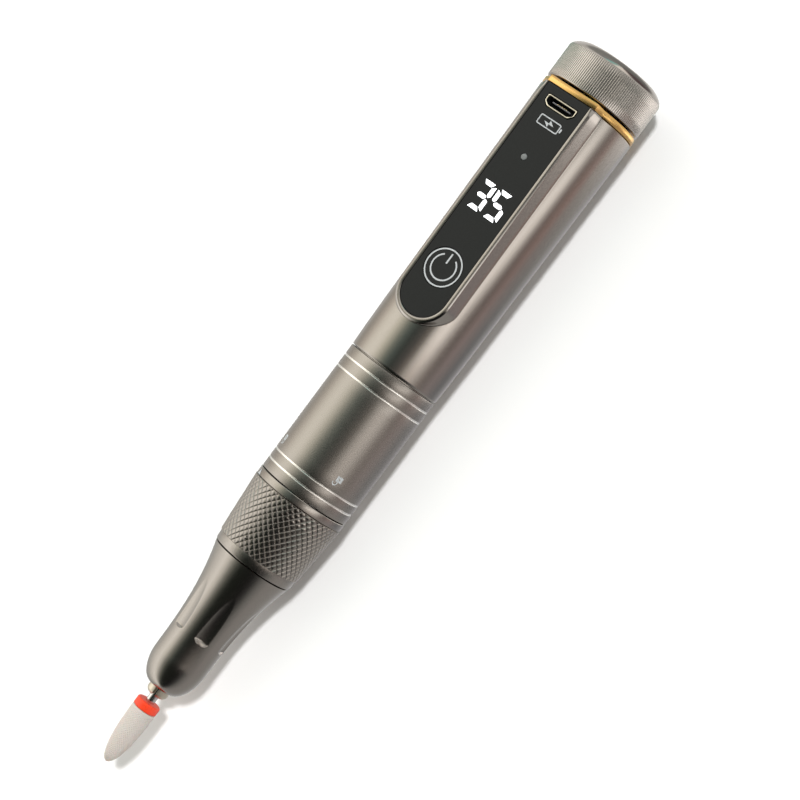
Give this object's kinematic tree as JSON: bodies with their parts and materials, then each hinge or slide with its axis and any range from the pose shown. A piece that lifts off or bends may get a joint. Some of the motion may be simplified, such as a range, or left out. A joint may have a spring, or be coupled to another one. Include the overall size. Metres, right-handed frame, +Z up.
{
  "type": "electric nail drill",
  "caption": "Cordless pen-shaped electric nail drill with ceramic bit, twist-lock collet, control panel, micro-USB charging inlet and end speed dial.",
  "frame": {"origin": "centre of the bounding box in plan, on the surface that the pen lies on", "axes": "+X along the pen towards the speed dial, +Z up through the control panel, +Y to the left seen from the bit"},
  "size_m": [0.2008, 0.0254, 0.0263],
  "materials": {
    "body_aluminium": "satin anodised, gunmetal with a champagne tint",
    "collar_aluminium": "satin anodised with cut bright lines",
    "ring_aluminium": "diamond knurled, anodised",
    "nose_aluminium": "satin anodised",
    "dial_aluminium": "fine straight ribs, anodised, polished lip",
    "gold_aluminium": "polished gold anodised",
    "panel_black": "satin black",
    "button_black": "satin black with a light printed ring",
    "indicator_lens": "smoked",
    "socket_metal": "plated",
    "socket_tongue": "moulded",
    "board_green": "solder mask",
    "screw_steel": "machined",
    "dark_plastic": "moulded",
    "cell_wrap": "shrink sleeve over a lithium cell",
    "nickel": "plated strip",
    "brass": "turned",
    "steel": "ground",
    "spring_steel": "drawn wire",
    "rubber": "moulded",
    "magnet": "sintered",
    "copper": "bare copper",
    "core_iron": "laminations with enamelled windings",
    "wire_red": "insulation",
    "wire_black": "insulation",
    "collet_steel": "polished",
    "grit_orange": "moulded, orange-red grit code",
    "ceramic": "cross-cut off-white ceramic"
  },
  "bodies": {
    "housing": {"body_shell": "body_aluminium", "control_panel": "panel_black", "charge_indicator": "indicator_lens", "usb_socket_shell": "socket_metal", "usb_socket_tongue": "socket_tongue", "main_board": "board_green", "board_screw_1": "screw_steel", "board_screw_2": "screw_steel", "display_module": "dark_plastic", "power_switch": "dark_plastic", "chassis": "dark_plastic", "battery_cell": "cell_wrap", "battery_tab_front": "nickel", "battery_tab_rear": "nickel", "tail_trim_ring": "gold_aluminium", "tail_screw_1": "screw_steel", "tail_screw_2": "screw_steel", "potentiometer_body": "dark_plastic", "potentiometer_nut": "brass", "collar_sleeve": "collar_aluminium", "lock_housing": "steel", "release_spring": "spring_steel", "nose_cone": "nose_aluminium", "front_seal": "rubber", "front_bearing_outer": "steel", "front_bearing_cage": "brass", "rear_bearing_outer": "steel", "rear_bearing_cage": "brass", "motor_can": "steel", "motor_magnet_ring": "magnet", "motor_bushing_front": "brass", "motor_bushing_rear": "brass", "motor_end_cap": "dark_plastic", "motor_brush_1": "copper", "motor_brush_2": "copper", "motor_wire_1": "wire_red", "motor_wire_2": "wire_black"},
    "spindle": {"rotor_core": "core_iron", "rotor_shaft": "steel", "commutator": "copper", "drive_coupling": "steel", "spindle_shaft": "steel", "collet": "collet_steel", "front_bearing_inner": "steel", "rear_bearing_inner": "steel"},
    "bit": {"bit_shank": "steel", "bit_colour_ring": "grit_orange", "bit_head": "ceramic"},
    "lock_ring": {"lock_ring": "ring_aluminium"},
    "release": {"release_sleeve": "steel", "cam_pin_1": "steel", "cam_pin_2": "steel"},
    "dial": {"speed_dial": "dial_aluminium", "potentiometer_shaft": "steel"},
    "button": {"power_button": "button_black"}
  },
  "joints": [
    {"name": "spindle_spin", "type": "hinge", "parent": "housing", "child": "spindle", "pos_m": [0, 0, 0.01273], "axis": [1, 0, 0], "continuous": true},
    {"name": "bit_pull", "type": "slide", "parent": "spindle", "child": "bit", "axis": [-1, 0, 0], "range_m": [0, 0.035]},
    {"name": "lock_ring_turn", "type": "hinge", "parent": "housing", "child": "lock_ring", "pos_m": [0, 0, 0.01273], "axis": [1, 0, 0], "range_deg": [0, 90]},
    {"name": "release_slide", "type": "slide", "parent": "housing", "child": "release", "axis": [1, 0, 0], "range_m": [0, 0.0013], "deforming": ["release_spring"]},
    {"name": "speed_dial_turn", "type": "hinge", "parent": "housing", "child": "dial", "pos_m": [0, 0, 0.01273], "axis": [1, 0, 0], "range_deg": [0, 270]},
    {"name": "power_button_press", "type": "slide", "parent": "housing", "child": "button", "axis": [0, 0, -1], "range_m": [0, 0.0004], "stiffness_N_per_m": 4000}
  ],
  "couplings": [
    {"joint": "release_slide", "follows": "lock_ring_turn", "m_per_rad": 0.000827}
  ]
}
